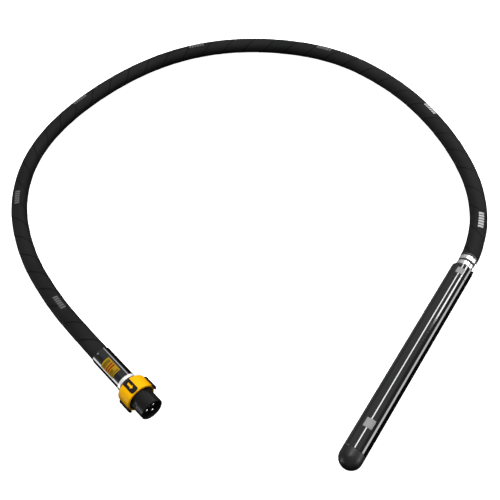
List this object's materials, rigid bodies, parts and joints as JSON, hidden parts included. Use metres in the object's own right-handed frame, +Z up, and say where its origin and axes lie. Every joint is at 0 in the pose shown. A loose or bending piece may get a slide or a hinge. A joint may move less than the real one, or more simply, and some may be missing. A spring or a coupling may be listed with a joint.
{
  "type": "concrete vibrator",
  "caption": "Immersion concrete vibrator: slim steel head with eccentric motor, rubber hose and pin plug with a bayonet coupling ring.",
  "frame": {"origin": "on the floor under the middle of the vibrating head, measured without the hose and connector", "axes": "+Y along the head from nose to hose, +Z up"},
  "size_m": [0.9544, 0.9223, 0.0566],
  "materials": {
    "nose_black": "satin black hardened steel",
    "dark_chrome": "polished black chrome",
    "bright_steel": "polished",
    "plated_collar": "satin plated",
    "turned_steel": "turned",
    "spring_steel": "ground",
    "weight_steel": "machined",
    "bearing_steel": "ground and polished",
    "cage_brass": "pressed",
    "lamination": "stacked laminations",
    "cast_aluminium": "cast and machined",
    "copper_wire": "enamelled copper winding",
    "lead_insulation": "silicone insulation",
    "splice_metal": "tinned",
    "seal_rubber": "matte",
    "hose_rubber": "matte, wrap-cured",
    "cable_rubber": "matte",
    "label_vinyl": "satin film",
    "black_plastic": "fine satin moulding",
    "yellow_plastic": "satin gloss moulding",
    "contact_silver": "silver plated"
  },
  "bodies": {
    "root": {"anti_rotation_key": "bright_steel", "bearing_carrier": "cast_aluminium", "bearing_wave_washer": "spring_steel", "cable_grommet": "seal_rubber", "carrier_spacer": "cast_aluminium", "connector_cable_cores": "lead_insulation", "connector_nipple": "turned_steel", "connector_splices": "splice_metal", "contact_insert": "black_plastic", "contact_pins": "contact_silver", "ferrule": "dark_chrome", "ferrule_label": "label_vinyl", "ferrule_rivet": "spring_steel", "head_cable_cores": "lead_insulation", "head_orings": "seal_rubber", "head_splices": "splice_metal", "head_tube": "dark_chrome", "hose": "hose_rubber", "hose_collar_ring": "bright_steel", "hose_nipple": "turned_steel", "hose_seat": "seal_rubber", "lower_bearing_outer_race": "bearing_steel", "middle_bearing_outer_race": "bearing_steel", "motor_leads": "lead_insulation", "neck_gasket": "seal_rubber", "neck_lock_ring": "bright_steel", "nose_cap": "nose_black", "pin_leads": "lead_insulation", "plug_body": "black_plastic", "plug_seal": "seal_rubber", "power_cable": "cable_rubber", "ring_spacer": "black_plastic", "ring_wave_washer": "spring_steel", "screw_collar": "plated_collar", "shaft_seal": "seal_rubber", "stator_core": "lamination", "stator_spacer": "cast_aluminium", "stator_winding": "copper_wire", "thermal_cutout": "black_plastic", "top_adapter": "dark_chrome", "upper_bearing_outer_race": "bearing_steel"},
    "rotor": {"rotor_shaft": "turned_steel", "eccentric_weight": "weight_steel", "weight_key": "turned_steel", "shaft_circlips": "spring_steel", "rotor_core": "lamination", "rotor_cage": "cast_aluminium", "lower_bearing_inner_race": "bearing_steel", "middle_bearing_inner_race": "bearing_steel", "upper_bearing_inner_race": "bearing_steel"},
    "lower_cage": {"lower_bearing_balls": "bearing_steel", "lower_bearing_cage": "cage_brass"},
    "middle_cage": {"middle_bearing_balls": "bearing_steel", "middle_bearing_cage": "cage_brass"},
    "upper_cage": {"upper_bearing_balls": "bearing_steel", "upper_bearing_cage": "cage_brass"},
    "coupling_ring": {"coupling_ring": "yellow_plastic", "ring_grips": "black_plastic", "arrow_panel": "black_plastic", "arrow_mark": "yellow_plastic"}
  },
  "joints": [
    {"name": "rotor_spin", "type": "hinge", "parent": "root", "child": "rotor", "pos_m": [0, 0, 0.01905], "axis": [0, 1, 0], "continuous": true},
    {"name": "lower_cage_spin", "type": "hinge", "parent": "root", "child": "lower_cage", "pos_m": [0, -0.166, 0.01905], "axis": [0, 1, 0], "continuous": true},
    {"name": "middle_cage_spin", "type": "hinge", "parent": "root", "child": "middle_cage", "pos_m": [0, -0.036, 0.01905], "axis": [0, 1, 0], "continuous": true},
    {"name": "upper_cage_spin", "type": "hinge", "parent": "root", "child": "upper_cage", "pos_m": [0, 0.109, 0.01905], "axis": [0, 1, 0], "continuous": true},
    {"name": "ring_turn", "type": "hinge", "parent": "root", "child": "coupling_ring", "pos_m": [-0.35484, -0.2846, 0.0295], "axis": [0.974, -0.2267, 0], "range_deg": [0, 60]}
  ],
  "couplings": [
    {"joint": "lower_cage_spin", "follows": "rotor_spin", "ratio": 0.3987},
    {"joint": "middle_cage_spin", "follows": "rotor_spin", "ratio": 0.3987},
    {"joint": "upper_cage_spin", "follows": "rotor_spin", "ratio": 0.4111}
  ]
}
